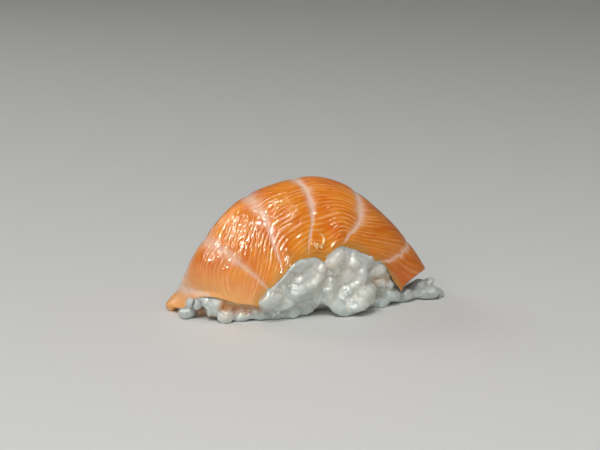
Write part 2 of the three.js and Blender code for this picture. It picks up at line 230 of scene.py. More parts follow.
EDGE_GRAIN_TURN = 1.2  # in radians, either way
EDGE_GRAIN_DEPTH = 0.42  # of its width, from the slice's underside to its middle,
EDGE_GRAIN_SPREAD = (-0.2, 0.3)  # give or take this, in mm
EDGE_GRAIN_LOWEST = 0.3  # of its width: none has its middle lower over the table
UNDER_SLICE_GAP = 0.05
PRESS_REACH = 5.0  # rice up to this far above the slice's face is pressed under it too
BORDER_REACH = 0.02
LAPPED = 3  # rice laps over this many rows of the slice's face at its long edges
FILLET = 0.18  # creases between grains are filled to this radius, in mm
RICE_RELIEF = ((2.3, 0.15), (1.2, 0.17), (0.75, 0.1))  # bumps of the rice: how wide and how high, in mm
VOXEL = 0.25
SOFTENING_ROUNDS = 3
# Places in the picture where a grain laps over the slice, and how far round, in mm.
LAPS = ((333.0, 256.0, 2.3),)
BANK_HEIGHT = 0.2  # rice beside a long edge of the slice rises to this height over its face
BANK_WIDTH = 1.6
BANK_REACH = 3.5
BANK_END = 0.8  # on the near side this ends so far along the slice
OVERHANG = 3.0  # scattered grains keep off rice that has the slice this close over it
SHOWN_FACING = -0.35  # scattered grains keep off what faces the camera by more than this,
SHOWN_FROM = -20.0  # from this x on, where the picture shows each grain
TINT_SHARES = (0.25, 0.75)  # how much of the tint is the grain's own, and how much comes with height
END_SHADE_REACH = (0.9, 1.08)  # rice from these shares of the block's half length outwards is painted darker: painted shade at the ends
COOL_SHADE_HEIGHTS = (5.0, 12.0)  # the rice is cool in colour near the table, and a little darker there as painted shade, and neutral higher up
SHELTER_RAYS = 5
SHELTER_REACH = 5.0
CREASE_ROUNDS = 2
# Rice in the recesses beside the slice is painted darker and browner, a painted shade: (x, y) in the picture,
# how far round in mm, and how strongly.
SHADE_SPOTS = (
    (225, 304.5, 2.8, 1), (236, 306, 2.8, 1), (247, 307, 2.8, 1), (257, 306.5, 2.4, 1),
    (203, 312, 2.6, 0.9), (214, 317, 1.8, 0.9), (226, 316, 2, 0.25), (244, 311, 1.6, 0.5),
    (262, 297, 1.6, 0.5),
    (376, 279, 2.2, 0.45), (387, 279, 2, 0.5), (328, 268, 1.8, 0.2),
)
# Places where white specks are painted on the wet rice as glints, a painted highlight, written in the same way.
PAINTED_GLINTS = (
    (278, 292, 3, 1), (292, 283, 2.4, 1), (333, 274, 3, 1), (327, 292, 2, 0.6),
    (277, 312, 2.2, 1), (378, 270, 1.8, 1), (348, 250, 1.8, 0.9), (352, 302, 2.4, 0.8),
    (346, 291, 2, 0.8), (388, 281, 1.4, 0.8), (190, 305, 2, 0.9), (209, 306, 1.6, 0.8),
    (226, 314, 1.6, 0.5), (250, 313, 1.6, 0.6), (305, 305, 2, 0.7), (430, 284, 1.6, 0.5),
)
RICE_TRIANGLES = 185000

# Where the picture shows rice, an entry starts with the picture's (x, y) in pixels. Its length
# and width are in mm and its turn in the picture is in degrees.
# Lumps are clumps of pressed grains: (x, y), the depth of the middle (y in mm), length, width, turn.
LUMPS = (
    (297, 281, -7.2, 15.5, 8.8, 42),
    (276, 299, -6.8, 7.5, 5.2, 10),
    (271, 292, -9, 7.5, 4.4, 50),
    (350, 266, -7.2, 9.6, 8.2, 82),
    (330, 287, -8.2, 9, 4.8, 84),
    (353, 298, -8.2, 11, 6.8, 16),
    (336, 302, -8.4, 8, 4.6, -38),
    (378, 274, -4.6, 7, 6, 60),
    (388, 291, -4, 6.5, 4, -30),
    (282, 312, -4.6, 12, 3.6, 5),
    (300, 307, -5, 8, 4, 32),
    (247, 312, 0.4, 10, 3.6, 2),
    (212, 311, 3, 8, 4, 0),
    (198, 310, 3, 5, 3.6, 0),
)
# Single grains: (x, y), what carries the grain, length, width, turn and how far it stands out, then
# LOOSE if it isn't pressed into the mass. It is carried by the table, by the heap behind it, or by
# its neighbours, and then its depth (y in mm) is given.
TABLE = "table"
HEAP = "heap"
LOOSE = "loose"
SHOWN_GRAINS = (
    # the left end
    (187, 312, TABLE, 3.9, 3.4, 10, 0),
    (190.5, 302.8, -0.4, 2.5, 2.2, 60, 0, LOOSE),
    (199, 303.2, -0.8, 3.7, 2.7, 40, 0, LOOSE),
    (215, 302.2, -2.8, 4.6, 2.9, -8, 0),
    (210.5, 308.5, -2.8, 4, 2.1, 70, 0),
    (216, 302, 0, 4.4, 2.8, 20, 0),
    (226, 316, TABLE, 4, 3.4, 15, 0),
    # the row along the table
    (242, 316, TABLE, 4.8, 2.7, 5, 0),
    (258, 315, TABLE, 5.6, 2.8, -4, 0),
    (275, 313.5, TABLE, 6.4, 2.9, 4, 0),
    (290, 312, TABLE, 5.6, 3.2, 14, 0),
    (309, 306.5, HEAP, 5.8, 3.3, 36, 0.9),
    # the mass under the middle of the slice
    (270, 299, HEAP, 5.4, 4, 20, 0.9),
    (284, 291, HEAP, 5, 2.8, 40, 0.9),
    (284, 303, HEAP, 6, 3, 14, 0.8),
    (290, 276, HEAP, 6.4, 2.6, 58, 0.8),
    (301, 265, HEAP, 5.8, 2.8, 30, 0.9),
    (316, 265, HEAP, 5.2, 2.8, -30, 0.9),
    (300, 291, HEAP, 6.4, 2.8, 30, 0.8),
    (304, 278, HEAP, 6, 2.8, 40, 0.8),
    (316, 280, HEAP, 5.6, 2.8, 50, 0.9),
    (321, 294, HEAP, 5, 2.6, 64, 0.8),
    (331, 282, HEAP, 5.8, 2.7, 80, 0.9),
    # the lobe to the right of it
    (335, 259, -11.8, 5.4, 3.6, 44, 0),
    (339, 261, HEAP, 5.4, 3.6, 62, 0.5),
    (351, 258, HEAP, 6, 3.8, 120, 0.5),
    (361, 269, HEAP, 6.8, 2.8, 98, 0.6),
    (348, 273, HEAP, 6, 4, 74, 0.4),
    # the cluster in front
    (355, 285, HEAP, 3.6, 2.4, 8, 1.4),
    (368, 287, HEAP, 4, 2.7, -24, 1),
    (346, 293, HEAP, 4.2, 2.9, 34, 1.3),
    (337, 306, HEAP, 5.4, 3.8, -38, 0.9),
    (344, 312, TABLE, 3.4, 2.5, -14, 0),
    (365, 294, HEAP, 4.4, 3.6, 40, 1.2),
    (359, 305, HEAP, 5.2, 2.8, 16, 1.1),
    (374, 301, TABLE, 4.4, 2.8, 30, 0),
    # under the right end of the slice
    (376.5, 270, HEAP, 4.6, 3.4, 30, 0.9),
    (378, 282, HEAP, 4.4, 2.6, -6, 0.7),
    (387.5, 283.5, HEAP, 3.2, 2, -20, 0.9),
    (386, 292, HEAP, 5.6, 3.2, -36, 0.9),
    # the tail
    (401, 296, TABLE, 5.8, 3.3, 14, 0),
    (417, 290, TABLE, 6.2, 4.2, 34, 0),
    (429, 293.5, TABLE, 5.4, 3.4, 6, 0),
    (437, 292.5, TABLE, 3.6, 2.6, -14, 0),
    (428, 281.6, 1.4, 3.4, 2.3, 20, 0),
    (428, 287, 0.8, 3.2, 2.1, 85, 0),
)

# ---------------------------------------------------------------- colours and light

COLOURS = {
    "flesh": (228, 132, 14),
    "flesh_deep": (208, 98, 6),
    "flesh_light": (240, 164, 66),
    "flesh_end_shade": (178, 88, 16),
    "streak_and_painted_light": (241, 180, 116),
    "fat": (234, 196, 174),
    "curl": (240, 160, 72),
    "curl_pale": (238, 186, 124),
    "thin": (190, 134, 56),
    "rice": (197, 198, 193),
    "rice_cool_and_shade": (180, 188, 186),
    "rice_warm": (200, 194, 182),
    "rice_crease_light": (236, 231, 221),
    "rice_painted_glint": (255, 255, 252),
    "rice_end_shade": (164, 169, 169),
    "rice_rim": (252, 251, 243),
    "rice_shade": (188, 162, 124),
    "rice_spot_shade": (190, 130, 66),
    "floor": (212, 212, 210),
}
# Each light is a square that faces the food: azimuth and elevation in degrees, distance and size in
# metres, power in watts, and whether it lights the food, shows as a reflection in its wet surface, or
# both. The small ones that only show as reflections make the glints.
BOTH = "both"
LIT = "lit"
REFLECTED = "reflected"
LIGHTS = (
    (-32.0, 52.0, 0.8, 0.3, 3.85, LIT),
    (10.0, 48.0, 0.9, 0.2, 0.5, LIT),
    (-36.0, 18.0, 1.1, 0.7, 1.85, LIT),
    (-140.0, 35.0, 0.9, 0.4, 1.4, BOTH),
    (-48.0, 26.0, 0.8, 0.4, 1.7, REFLECTED),
    (-68.0, 8.0, 0.8, 0.12, 3.0, REFLECTED),
    (-76.0, 46.0, 0.8, 0.12, 2.4, REFLECTED),
    (-57.0, 32.0, 0.8, 0.12, 2.7, REFLECTED),
    (-32.0, 16.0, 0.8, 0.12, 2.8, REFLECTED),
    (5.0, 51.0, 0.8, 0.12, 1.9, REFLECTED),
    (14.0, 46.0, 0.8, 0.12, 0.5, REFLECTED),
    (-14.0, 33.0, 0.8, 0.08, 2.0, REFLECTED),
)
LIGHT_COLOUR = (1.0, 0.99, 0.98)
GLINT_COLOUR = (0.92, 1.0, 0.86)
WORLD_STRENGTH = 0.18
FLESH_BUMP = 0.00015  # heights of the bumps in the shaders, in metres
FLESH_WET_BUMP = 0.00026
CURL_BUMP = 0.0001
RICE_BUMPS = (0.0001, 0.0001)  # of the fine bumps and of the wrinkles
RICE_WET_BUMPS = (0.00018, 0.00012)
# The floor, in metres: it is level out to FLOOR_FLAT and then curves up by FLOOR_RISE.
FLOOR_RINGS = (0.0, 0.4, 0.9)
FLOOR_FLAT = 1.3
FLOOR_RISE = 1.0
FLOOR_CURVE_STEPS = 12
FLOOR_TURNS = 96


# ================================================================ small helpers

def colour(name):
    """A named colour as the linear RGBA that shaders take."""
    def linear(value):
        share = value / 255
        return share / 12.92 if share <= 0.04045 else ((share + 0.055) / 1.055) ** 2.4
    return tuple(linear(value) for value in COLOURS[name]) + (1.0,)


def hermite(a, b, slope_a, slope_b, t, span=1.0):
    """A smooth way from a to b as t goes from 0 to 1, with the given slopes at its ends."""
    return (
        (2 * t**3 - 3 * t**2 + 1) * a
        + (t**3 - 2 * t**2 + t) * span * slope_a
        + (3 * t**2 - 2 * t**3) * b
        + (t**3 - t**2) * span * slope_b
    )


def smooth_through(points, x):
    """A smooth curve y(x) through a few (x, y) points, level beyond its ends."""
    xs, ys = np.array(points, float).T
    slopes = np.gradient(ys, xs)
    x = np.clip(x, xs[0], xs[-1])
    i = np.clip(np.searchsorted(xs, x, side="right") - 1, 0, len(xs) - 2)
    span = xs[i + 1] - xs[i]
    t = (x - xs[i]) / span
    return hermite(ys[i], ys[i + 1], slopes[i], slopes[i + 1], t, span)


def smooth_step(low, high, x):
    """From 0 at low to 1 at high, level beyond them."""
    t = np.clip((x - low) / (high - low), 0, 1)
    return t * t * (3 - 2 * t)


def lattice_noise(rng, x, y):
    """Smooth random waves about one unit long, from -1 to 1, at the places (x, y)."""
    x = np.asarray(x, float)
    y = np.asarray(y, float)
    left = int(math.floor(x.min())) - 1
    low = int(math.floor(y.min())) - 1
    table = rng.uniform(-1, 1, (int(x.max()) - left + 3, int(y.max()) - low + 3))
    column = np.floor(x).astype(int)
    row = np.floor(y).astype(int)
    s = smooth_step(0, 1, x - column)
    t = smooth_step(0, 1, y - row)
    i = column - left
    j = row - low
    return (
        table[i, j] * (1 - s) * (1 - t)
        + table[i + 1, j] * s * (1 - t)
        + table[i, j + 1] * (1 - s) * t
        + table[i + 1, j + 1] * s * t
    )


def waves(rng, along, across, height, length, width):
    """Smooth random waves at the places (along, across), in the same unit as their sizes."""
    return height * lattice_noise(rng, along / length, across / width)


def unit(vectors):
    return vectors / np.linalg.norm(vectors, axis=-1, keepdims=True)


def grid_quads(number, flipped=False):
    """The faces between neighbouring points of a grid of point numbers."""
    corners = (number[:-1, :-1], number[1:, :-1], number[1:, 1:], number[:-1, 1:])
    return np.stack([corner.ravel() for corner in (corners[::-1] if flipped else corners)], -1)


def closed_faces(rings, sides, flipped=False):
    """The triangles of a closed body whose points are rings, one after the other, and then two tips."""
    faces = []
    for i in range(rings - 1):
        for j in range(sides):
            a = i * sides + j
            b = i * sides + (j + 1) % sides
            pair = [(a, b, b + sides), (a, b + sides, a + sides)]
            faces += pair[::-1] if flipped else pair
    tip = rings * sides
    last = tip - sides
    for j in range(sides):
        k = (j + 1) % sides
        faces += [(tip, k, j), (tip + 1, last + j, last + k)]
    faces = np.array(faces)
    return faces[:, (0, 2, 1)] if flipped else faces


def smooth_object(name, points, faces, material):
    """A Blender object from lists of points in metres and of faces, shaded smooth."""
    mesh = bpy.data.meshes.new(name)
    mesh.from_pydata(points, [], faces)
    mesh.polygons.foreach_set("use_smooth", [True] * len(mesh.polygons))
    mesh.materials.append(material)
    mesh.update()
    piece = bpy.data.objects.new(name, mesh)
    bpy.context.collection.objects.link(piece)
    return piece


def mesh_object(name, points, faces, material):
    """The same from arrays, with the points in millimetres."""
    return smooth_object(name, (points * MM).tolist(), faces.tolist(), material)


def add_attribute(piece, name, values):
    """Numbers (or vectors) at the points of a piece, for its material to read."""
    values = np.asarray(values, np.float32)
    kind = "FLOAT" if values.ndim == 1 else "FLOAT_VECTOR"
    field = "value" if values.ndim == 1 else "vector"
    attribute = piece.data.attributes.new(name, kind, "POINT")
    attribute.data.foreach_set(field, values.ravel())


# ================================================================ camera

def view_axes():
    """Right, up and ahead of the camera."""
    azimuth = math.radians(CAMERA_AZIMUTH)
    elevation = math.radians(CAMERA_ELEVATION)
    ahead = np.array((
        -math.sin(azimuth) * math.cos(elevation),
        math.cos(azimuth) * math.cos(elevation),
        -math.sin(elevation),
    ))
    right = np.array((math.cos(azimuth), math.sin(azimuth), 0.0))
    return right, np.cross(right, ahead), ahead


def ray_through(x, y):
    """The direction from the camera through the picture's point (x, y)."""
    right, up, ahead = view_axes()
    across = (x - PICTURE_WIDTH / 2) / FOCAL_PIXELS
    rise = (PICTURE_HEIGHT / 2 - y) / FOCAL_PIXELS
    return ahead + across * right + rise * up


def point_at(x, y, axis, value):
    """Where the sight line through (x, y) reaches the given value of one coordinate."""
    ray = ray_through(x, y)
    return CAMERA_PLACE + ray * (value - CAMERA_PLACE[axis]) / ray[axis]


def seen_on(tree, x, y):
    """Where the sight line through (x, y) first meets the faces of a tree, and the number of the face."""
    spot, _, index, _ = tree.ray_cast(Vector(CAMERA_PLACE), Vector(unit(ray_through(x, y))))
    return spot, index


def make_camera():
    right, up, ahead = view_axes()
    data = bpy.data.cameras.new("camera")
    data.lens = LENS
    data.sensor_width = SENSOR_WIDTH
    data.clip_start = 0.01
    camera = bpy.data.objects.new("camera", data)
    turn = Matrix((right, up, -ahead)).transposed().to_4x4()
    camera.matrix_world = Matrix.Translation(Vector(CAMERA_PLACE * MM)) @ turn
    bpy.context.collection.objects.link(camera)
    bpy.context.scene.camera = camera


# ================================================================ the slice of salmon

def rail(index, u):
    """A smooth curve through one of the stations' three points (near edge, crest, far edge)."""
    points = np.array([station[index] for station in STATIONS])
    last = len(points) - 1
    place = np.asarray(u, float) * last
    i = np.clip(np.floor(place).astype(int), 0, last - 1)
    t = (place - i)[..., None]

    def point(k):
        found = points[np.clip(k, 0, last)].copy()
        found[k < 0] = 2 * points[0] - points[1]
        found[k > last] = 2 * points[last] - points[last - 1]
        return found

    a, b, c, d = point(i - 1), point(i), point(i + 1), point(i + 2)
    return hermite(b, c, (c - a) / 2, (d - b) / 2, t)


def bezier(a, b, c, d, t):
    s = 1 - t
    return a * s**3 + b * 3 * s**2 * t + c * 3 * s * t**2 + d * t**3


def slice_face(u, v):
    """The upper face of the slice, without its relief."""
    near, crest, far = rail(0, u), rail(1, u), rail(2, u)
    up = np.array((0.0, 0.0, 1.0))
    level = np.array((1.0, 1.0, 0.0))
    heading = np.radians(CREST_HEADING + END_TURN * np.exp(-((u / END_TURN_SPAN) ** 2)))
    fall = math.radians(CREST_FALL)
    crossing = np.stack(
        (np.cos(heading) * math.cos(fall), np.sin(heading) * math.cos(fall),
         np.full_like(heading, -math.sin(fall))), -1)
    near_reach = np.linalg.norm((crest - near)[..., :2], axis=-1, keepdims=True)
    far_reach = np.linalg.norm((far - crest)[..., :2], axis=-1, keepdims=True)
    rise = np.maximum(NEAR_RISE * (crest - near)[..., 2:3], NEAR_RISE_MIN)
    arch = (END_ARCH * np.exp(-((u / END_ARCH_SPAN) ** 2)))[..., None]
    near_handle = near + up * rise + NEAR_LEAN * (crest - near) * level
    crest_handle = crest - crossing * CREST_REACH * near_reach + up * arch
    beyond_handle = crest + crossing * CREST_REACH * far_reach
    far_handle = far + up * FAR_RISE * np.maximum((crest - far)[..., 2:3], 0)
    t_near = (v / CREST_SHARE)[..., None]
    t_far = ((v - CREST_SHARE) / (1 - CREST_SHARE))[..., None]
    near_side = bezier(near, near_handle, crest_handle, crest, t_near)
    far_side = bezier(crest, beyond_handle, far_handle, far, t_far)
    return np.where((v < CREST_SHARE)[..., None], near_side, far_side)


def slice_normal(u, v, step=1e-3):
    along = slice_face(u + step, v) - slice_face(u - step, v)
    across = slice_face(u, v + step) - slice_face(u, v - step)
    return unit(np.cross(along, across))


def slice_thickness(u, v):
    from_end = np.minimum(u, 1 - u) * STRIP_LENGTH
    from_side = np.minimum(v, 1 - v) * STRIP_WIDTH
    share = np.clip(np.minimum(from_end, from_side) / TAPER_WIDTH, 0, 1)
    return THICKNESS_EDGE + (THICKNESS_MIDDLE - THICKNESS_EDGE) * (1 - (1 - share) ** 2)


def spaced_with_rim(steps, length):
    """Places from 0 to 1 along a side of the given length, close together near both ends."""
    rim = np.array(RIM_STEPS) * THICKNESS_EDGE / 2 / length
    middle = np.linspace(rim[-1], 1 - rim[-1], steps)[1:-1]
    return np.concatenate((rim, middle, 1 - rim[::-1]))


def fat_lines(u, v, rng):
    """How much fat shows at each place, the place in its field of flesh, and where the fields meet."""
    fat = np.zeros_like(u)
    edges = [np.full_like(u, -0.06)]
    ragged, fine_ragged, stray = (
        height * lattice_noise(rng, u * along, v * across)
        for height, along, across in (*FAT_RAGGED, FAT_STRAY))
    ragged = ragged + fine_ragged
    stray = stray / STRIP_LENGTH
    for line in FAT_LINES:
        middle = smooth_through(line["path"], v)
        places = [point[0] for point in line["path"]]
        width = smooth_through(tuple(zip(places, line["width"])), v)
        off = np.abs(u + stray - middle) * STRIP_LENGTH / (0.5 * FAT_WIDENING * width * (1 + ragged))
        fat = np.maximum(fat, line["strength"] * np.exp(-off**1.8) * smooth_step(0.1, 0.5, width))
        edges.append(middle)
    edges.append(np.full_like(u, 1.05))
    field = np.zeros(u.shape, int)
    for k, edge in enumerate(edges[1:-1]):
        field[u > edge] = k + 1
    stack = np.stack(edges)
    start = np.take_along_axis(stack, field[None], 0)[0]
    end = np.take_along_axis(stack, field[None] + 1, 0)[0]
    return fat, (u - start) / (end - start), edges


def fibre_drift(u, v, borders):
    """How far the fibre at a place has drifted across the slice since the left end, in mm."""
    near = np.minimum(v * STRIP_WIDTH, FIBRE_DRIFT_WIDTH)
    total = np.zeros_like(u)
    for (drift, spread), start, end in zip(FIBRE_DRIFT, borders[:-1], borders[1:]):
        passed = np.clip(u, start, end) - start
        total += passed * STRIP_LENGTH * (drift + spread * near)
    return total


def make_slice(material):
    rng = np.random.default_rng(SEED)
    along = spaced_with_rim(SLICE_STEPS_ALONG, STRIP_LENGTH)
    across = spaced_with_rim(SLICE_STEPS_ACROSS, STRIP_WIDTH)
    u, v = np.meshgrid(along, across, indexing="ij")
    fat, place, borders = fat_lines(u, v, rng)

    along_mm = u * STRIP_LENGTH
    across_mm = v * STRIP_WIDTH
    lie_mm = across_mm - fibre_drift(u, v, borders)
    strip_mm = lie_mm + waves(rng, along_mm, across_mm, *FIBRE_WANDER)
    fibre_place = strip_mm / FIBRE_SPACING
    ridge = np.abs(np.cos(np.pi * fibre_place))
    streaks, fine = (
        lattice_noise(rng, along_mm / length, fibre_place * share) for length, share in (STREAKS, FINE_STREAKS))
    onward = smooth_step(*PUCKER_FADE_TURN, u)
    low, high = ((1 - onward) * left + onward * right for left, right in zip(*PUCKER_FADE_EDGE))
    puckered = smooth_step(*PUCKER_FADE_U, u) * smooth_step(*PUCKER_FADE_V, v) * smooth_step(low, high, v)
    puckered = PUCKER_LEAST + (1 - PUCKER_LEAST) * puckered
    pucker = puckered * lattice_noise(rng, along_mm / PUCKER_LENGTH, strip_mm / PUCKER_WIDTH)
    shown = 1 - CALM * smooth_step(*CALM_U, u) * smooth_step(*CALM_V, v)
    fibre = shown * (ridge**3 * (0.75 + 0.5 * streaks) + 0.22 * fine)
    relief_line = 0.6 * ridge**1.5 + 0.4 * streaks + 0.3 * fine

    from_edge = np.minimum(np.minimum(u, 1 - u) * STRIP_LENGTH, np.minimum(v, 1 - v) * STRIP_WIDTH)
    fade = smooth_step(*FADE_WIDTH, from_edge)
    hump = HUMP_HEIGHT * (1 - np.abs(2 * place - 1) ** 3.5) - GROOVE_DEPTH * fat + RELIEF_LEVEL
    undulation = waves(rng, along_mm, across_mm, *UNDULATION)
    threads = FIBRE_HEIGHT * shown * (relief_line - 0.4) * (1 - 0.7 * fat) + PUCKER * pucker
    relief = fade * (hump + undulation + threads)

    end = np.exp(-((u / END_DROOP_SPAN) ** 2) - ((v - END_DROOP_PLACE) / END_DROOP_WIDTH) ** 2)
    tip = np.exp(-((u / TIP_SPAN) ** 2)) * smooth_step(*TIP_PLACE, v)
    feather = FEATHER + (1 - FEATHER) * smooth_step(0, FEATHER_WIDTH, across_mm)
    feather = feather + END_SWELL * end + TIP_SWELL * tip
    rim = feather * THICKNESS_EDGE / 2
    short = np.clip(rim - from_edge, 0, rim)
    inset = rim - np.sqrt(rim**2 - short**2)
    face = slice_face(u, v)
    normal = slice_normal(u, v)
    thickness = feather * slice_thickness(u, v)
    wavy_edge = waves(rng, along_mm, across_mm, *EDGE_WANDER) * (1 - fade)
    sideways = unit(slice_face(u, np.minimum(v + 2e-3, 1)) - slice_face(u, np.maximum(v - 2e-3, 0)))
    face = face + sideways * (wavy_edge * smooth_step(0.5, 0.0, np.minimum(v, 1 - v) * 4))[..., None]
    face[..., 2] -= END_DROOP * end
    face = face + tip[..., None] * np.array(TIP_SHIFT)
    top = face + normal * (relief - inset)[..., None]
    bottom = face - normal * (thickness - inset)[..., None]
    bottom[..., 2] = np.maximum(bottom[..., 2], LEAST_HEIGHT)

    rows, columns = u.shape
    number = np.arange(rows * columns).reshape(rows, columns)
    inner = (slice(1, -1), slice(1, -1))
    below = number.copy()
    below[inner] = rows * columns + np.arange((rows - 2) * (columns - 2)).reshape(rows - 2, columns - 2)
    points = np.concatenate((top.reshape(-1, 3), bottom[inner].reshape(-1, 3)))
    faces = np.concatenate((grid_quads(number), grid_quads(below, flipped=True)))
    piece = mesh_object("salmon_flesh", points, faces, material)

    thin = smooth_step(THIN_WIDTH, THIN_FULL, across_mm + waves(rng, along_mm, across_mm, *THIN_WANDER))

    def on_all_points(values):
        flat = values.reshape(rows * columns, -1)
        both = np.concatenate((flat, values[inner].reshape((rows - 2) * (columns - 2), -1)))
        return both[:, 0] if values.ndim == 2 else both

    add_attribute(piece, "fat", on_all_points(fat))
    add_attribute(piece, "fibre", on_all_points(fibre))
    add_attribute(piece, "thin", on_all_points(thin))
    add_attribute(piece, "puckered", on_all_points(puckered))
    strip_place = np.stack((along_mm, strip_mm, np.zeros_like(u)), -1)
    add_attribute(piece, "strip_place", on_all_points(strip_place))
    return piece, (face, normal, thickness)


def tube_mesh(path, normals, radius):
    """A round ridge along a path, thinning out at its ends, with its foot in the surface below it."""
    count = len(path)
    ahead = unit(np.gradient(path, axis=0))
    side = unit(np.cross(normals, ahead))
    share = np.sin(np.linspace(0.15, np.pi - 0.15, count)) ** 0.5
    angles = np.linspace(0, 2 * np.pi, CURL_SIDES, endpoint=False)
    reach = (radius * share)[:, None, None]
    rings = path[:, None] + reach * (
        np.cos(angles)[None, :, None] * side[:, None] + np.sin(angles)[None, :, None] * normals[:, None])
    points = np.concatenate((rings.reshape(-1, 3), path[:1], path[-1:]))
    return points, closed_faces(count, CURL_SIDES)


def make_curl(material, cover):
    """A small curl of fat and a few crumbs that lie on the slice."""
    rng = np.random.default_rng(SEED + 2)

    def on_slice(x, y):
        spot, index = cover.seen_at(x, y)
        return spot, cover.normals[divmod(index, cover.columns)]

    shares = np.linspace(0, 1, len(CURL_PATH))
    courses = [tuple(zip(shares, values)) for values in np.array(CURL_PATH).T]
    steps = np.linspace(0, 1, CURL_STEPS)
    found = [on_slice(x, y) for x, y in zip(*(smooth_through(course, steps) for course in courses))]
    path = np.array([spot + CURL_RISE * normal for spot, normal in found])
    bodies = [tube_mesh(path, np.array([normal for _, normal in found]), CURL_RADIUS)]
    for share, aside, turn, size in rng.uniform(0, 1, (CRUMB_COUNT, 4)):
        place = np.array(CRUMB_START + share * (1 - CRUMB_START))
        x, y = (float(smooth_through(course, place)) for course in courses)
        x += CRUMB_SPREAD * (aside - 0.6)
        y += CRUMB_SPREAD * (turn - 0.5)
        spot, normal = on_slice(x, y)
        width = CRUMB_SIZE * (CRUMB_SIZES[0] + CRUMB_SIZES[1] * size)
        middle = spot + CRUMB_RISE * width * normal
        axes = picture_axes(360 * turn)
        bodies.append(grain_mesh(rng, middle, axes, CRUMB_LENGTH * width, width, swell=0.0))
    points, faces = joined(bodies)
    return mesh_object("fat_curl", points, faces, material)


# ================================================================ the rice

def block_width(height):
    return smooth_through(BLOCK_PROFILE, height / BLOCK_HEIGHT)


def block_point(angle, height, inset=0.0):
    """A point on the side of the block, at an angle round it and a height above the table."""
    power = 2 / BLOCK_ROUNDNESS
    width = block_width(height)
    c, s = np.cos(angle), np.sin(angle)
    x = BLOCK_MIDDLE[0] + np.sign(c) * np.abs(c) ** power * (BLOCK_HALF_LENGTH * width - inset)
    y = BLOCK_MIDDLE[1] + np.sign(s) * np.abs(s) ** power * (BLOCK_HALF_WIDTH * width - inset)
    return np.stack((x, y, np.broadcast_to(height, x.shape)), -1)


def core_mesh():
    """The pressed middle of the block, a little smaller than the heap and hollow at its front foot."""
    heights = np.linspace(0, BLOCK_HEIGHT, CORE_STEPS_UP)
    angles = np.linspace(0, 2 * np.pi, CORE_STEPS_ROUND, endpoint=False)
    rows = []
    for height in heights:
        back = smooth_step(*CORE_BACK, block_point(angles, height)[:, 1])
        covered = smooth_step(*CORE_COVERED, height - CORE_BACK_LIFT * back)
        ring = block_point(angles, height, CORE_INSET - (CORE_INSET + CORE_TOP_OUTSET) * covered - FILLET)
        low = 1 - smooth_step(0, CORE_FOOT_HEIGHT, height)
        front = smooth_step(*CORE_FRONT, ring[:, 1])
        ring[:, 1] += CORE_FOOT_INSET * low * front
        rows.append(ring)
    points = np.concatenate(rows + [[(*BLOCK_MIDDLE, 0.0)], [(*BLOCK_MIDDLE, BLOCK_HEIGHT + FILLET)]])
    return points, closed_faces(CORE_STEPS_UP, CORE_STEPS_ROUND)


def grain_mesh(rng, middle, axes, length, width, swell=FILLET):
    """A cooked grain: blunt, a little bent and flattened. axes are its long, wide and thick directions.

    It is made larger all round by swell, which is taken off again once the grains are fused.
    """
    length = length + 2 * swell
    width = width + 2 * swell
    t = np.cos(np.linspace(0, np.pi, GRAIN_STEPS_ALONG))
    girth = (1 - np.abs(t) ** GRAIN_BLUNTNESS[0]) ** (1 / GRAIN_BLUNTNESS[1])
    angles = np.linspace(0, 2 * np.pi, GRAIN_STEPS_ROUND, endpoint=False)
    bend = rng.uniform(-GRAIN_BEND, GRAIN_BEND)
    taper = rng.uniform(-GRAIN_TAPER, GRAIN_TAPER)
    uneven = 1 + GRAIN_UNEVENNESS * rng.uniform(-1, 1, (GRAIN_STEPS_ALONG, GRAIN_STEPS_ROUND))
    along = np.repeat(t[1:-1, None], GRAIN_STEPS_ROUND, 1)
    size = (girth * (1 + taper * t))[1:-1, None] * uneven[1:-1]
    wide = size * np.cos(angles) * width / 2 + bend * length / 2 * (1 - along**2)
    thick = size * np.sin(angles) * width / 2 * GRAIN_FLATNESS
    body = np.stack((along * length / 2, wide, thick), -1).reshape(-1, 3)
    tips = np.array(((length / 2, 0, 0), (-length / 2, 0, 0)))
    points = np.concatenate((body, tips)) @ np.array(axes) + middle
    return points, closed_faces(GRAIN_STEPS_ALONG - 2, GRAIN_STEPS_ROUND, flipped=True)


def joined(meshes):
    points, faces, start = [], [], 0
    for mesh_points, mesh_faces in meshes:
        points.append(mesh_points)
        faces.append(mesh_faces + start)
        start += len(mesh_points)
    return np.concatenate(points), np.concatenate(faces)


def picture_axes(turn):
    """The long, wide and thick directions of something turned by so many degrees in the picture."""
    right, up, ahead = view_axes()
    angle = math.radians(turn)
    long_way = math.cos(angle) * right + math.sin(angle) * up
    return long_way, np.cross(long_way, ahead), -ahead


def lumps(rng):
    return [grain_mesh(rng, point_at(x, y, 1, depth), picture_axes(turn), length, width)
            for x, y, depth, length, width, turn in LUMPS]


def shown_grains(rng, heap):
    """The grains that the picture shows, as (mesh, whether it is loose)."""
    tree = BVHTree.FromPolygons(heap[0].tolist(), heap[1].tolist())
    grains = []
    for x, y, carrier, length, width, turn, stands_out, *loose in SHOWN_GRAINS:
        axes = picture_axes(turn)
        if carrier == TABLE:
            middle = point_at(x, y, 2, REST_SHARE * width)
        elif carrier == HEAP:
            depth = FILLET + REST_SHARE * width - stands_out
            middle = np.array(seen_on(tree, x, y)[0]) + unit(ray_through(x, y)) * depth
        else:
            middle = point_at(x, y, 1, carrier)
        swell = 0.0 if loose else FILLET
        grains.append((grain_mesh(rng, middle, axes, length, width, swell), bool(loose)))
    return grains


